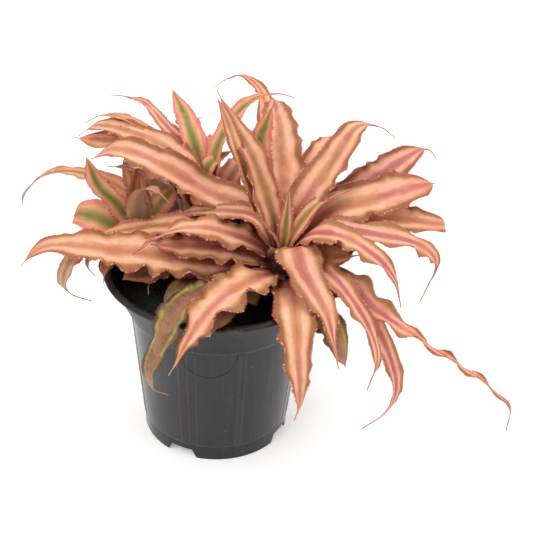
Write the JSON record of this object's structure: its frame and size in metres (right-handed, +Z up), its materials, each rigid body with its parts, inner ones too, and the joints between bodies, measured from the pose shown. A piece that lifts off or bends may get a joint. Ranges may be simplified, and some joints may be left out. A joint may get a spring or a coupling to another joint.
{
  "type": "pink earth star in a nursery pot",
  "caption": "Pink earth star bromeliad: rosettes of waved, channelled leaves with long tips over a thin tapered nursery pot filled with dark soil.",
  "frame": {"origin": "middle of the whole object's box, on the surface that the pot stands on", "axes": "+Z up along the pot's axis, -Y towards the viewer of the picture, +X to the viewer's right"},
  "size_m": [0.2606, 0.1792, 0.1843],
  "materials": {
    "pot": "satin",
    "soil": "matte",
    "leaf_main": "satin",
    "leaf_left": "satin",
    "leaf_back": "satin"
  },
  "bodies": {
    "root": {"pot": "pot", "soil": "soil", "rosette_main": "leaf_main", "rosette_left": "leaf_left", "rosette_back": "leaf_back"}
  },
  "joints": []
}
